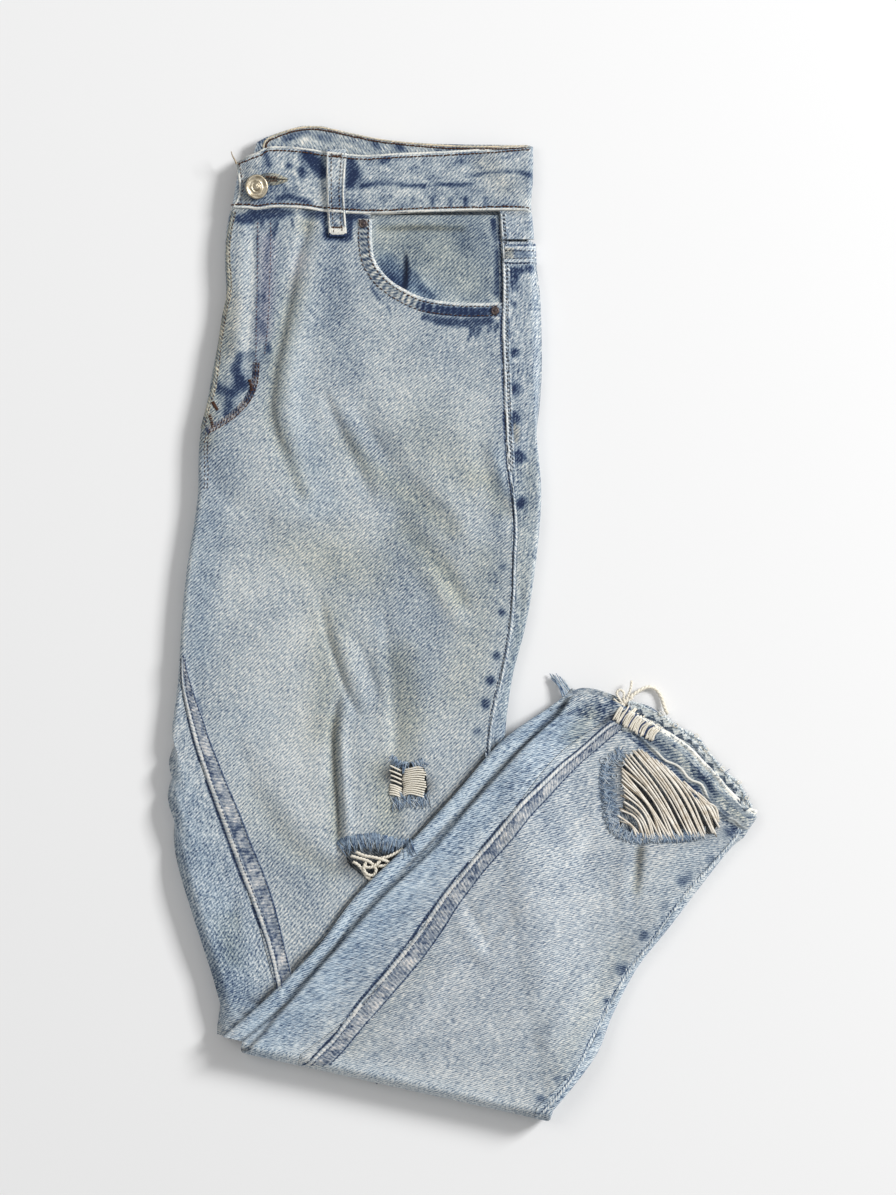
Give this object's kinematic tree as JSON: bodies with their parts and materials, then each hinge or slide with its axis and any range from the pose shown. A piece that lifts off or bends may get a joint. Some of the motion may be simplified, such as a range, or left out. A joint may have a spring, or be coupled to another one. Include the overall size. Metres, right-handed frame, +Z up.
{
  "type": "jeans",
  "caption": "Ripped, acid-washed jeans with a high waist and cropped legs, folded in half along the centre and again at the knee, lying flat.",
  "frame": {"origin": "a point on the flat underside, under the middle of the folded jeans, on the surface they lie on", "axes": "+Z up from that surface, +Y from the knee fold towards the waistband, +X from the fly towards the side seam"},
  "size_m": [0.4129, 0.6972, 0.0251],
  "materials": {
    "denim": "matte",
    "denim_back": "matte",
    "denim_lower": "matte",
    "denim_band": "matte",
    "thread": "matte",
    "worn_metal": "satin"
  },
  "bodies": {
    "root": {"right_leg_upper": "denim_back", "left_back": "denim_back", "left_yoke": "denim_back", "left_front": "denim", "left_pocket_facing": "denim_back", "waistband_left": "denim_band", "belt_loop_front": "denim_band", "button": "worn_metal", "rivet_pocket_top": "worn_metal", "rivet_pocket_side": "worn_metal", "left_leg_lower": "denim_lower", "left_hem": "denim_lower", "right_back": "denim_lower", "right_front": "denim_lower", "right_hem": "denim_lower", "knee_threads_small": "thread", "knee_threads_large": "thread", "shin_threads": "thread", "hem_tassel": "thread", "loose_thread": "thread"}
  },
  "joints": []
}
